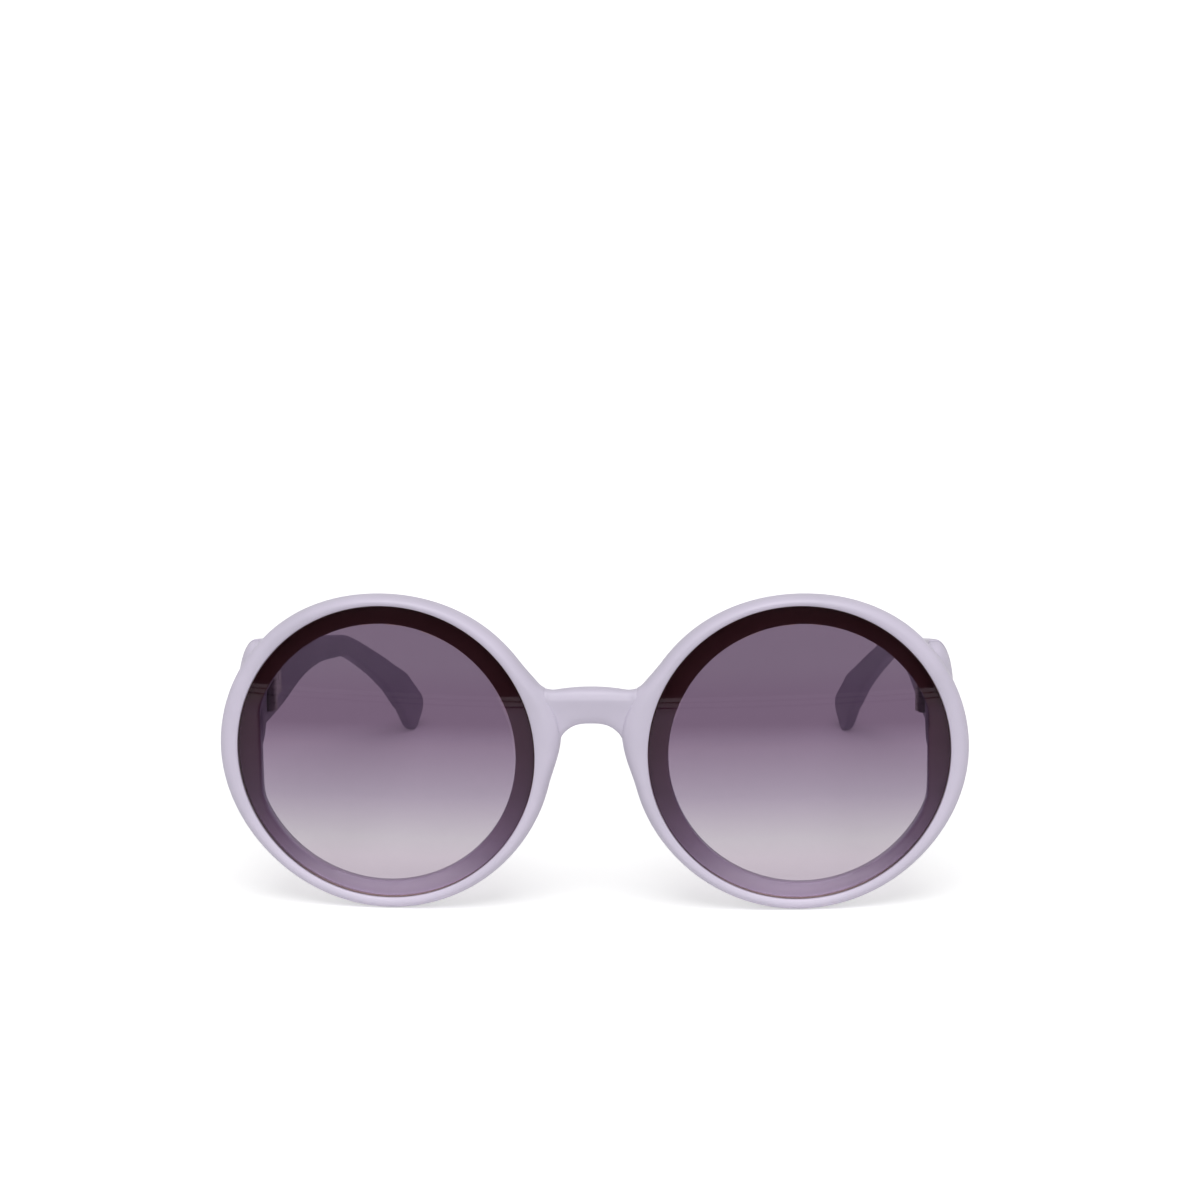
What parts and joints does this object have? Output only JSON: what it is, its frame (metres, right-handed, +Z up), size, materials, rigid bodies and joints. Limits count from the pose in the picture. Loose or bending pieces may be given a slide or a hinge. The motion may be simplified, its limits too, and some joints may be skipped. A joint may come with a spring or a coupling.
{
  "type": "sunglasses",
  "caption": "Oversized round sunglasses with gradient tinted lenses in a one-piece moulded front, and broad tapering temples that fold on small metal hinges.",
  "frame": {"origin": "on the floor, under the middle of the bounding box of the open sunglasses", "axes": "+X towards the wearer's left (the viewer's right), -Y the way the lenses face, +Z up, standing on the rims and the temple ends"},
  "size_m": [0.1492, 0.1462, 0.064],
  "materials": {
    "frame_plastic": "smooth satin-matte lavender moulded plastic",
    "tinted_lens": "polished plum tint, dark at the top and paler at the bottom",
    "hinge_metal": "nickel-plated stamped hinge leaves",
    "screw_metal": "bright plated small screws"
  },
  "bodies": {
    "front": {"front_frame": "frame_plastic", "lens_right": "tinted_lens", "lens_left": "tinted_lens", "front_leaf_right": "hinge_metal", "front_leaf_left": "hinge_metal", "hinge_screw_right": "screw_metal", "hinge_screw_left": "screw_metal", "front_leaf_screws_right": "screw_metal", "front_leaf_screws_left": "screw_metal"},
    "right_arm": {"temple_right": "frame_plastic", "temple_leaf_right": "hinge_metal", "temple_leaf_screws_right": "screw_metal"},
    "left_arm": {"temple_left": "frame_plastic", "temple_leaf_left": "hinge_metal", "temple_leaf_screws_left": "screw_metal"}
  },
  "joints": [
    {"name": "left_hinge", "type": "hinge", "parent": "front", "child": "left_arm", "pos_m": [0.0654, -0.05775, 0.04184], "axis": [0, 0, 1], "range_deg": [0, 84]},
    {"name": "right_hinge", "type": "hinge", "parent": "front", "child": "right_arm", "pos_m": [-0.0654, -0.05775, 0.04184], "axis": [0, 0, -1], "range_deg": [0, 78]}
  ]
}
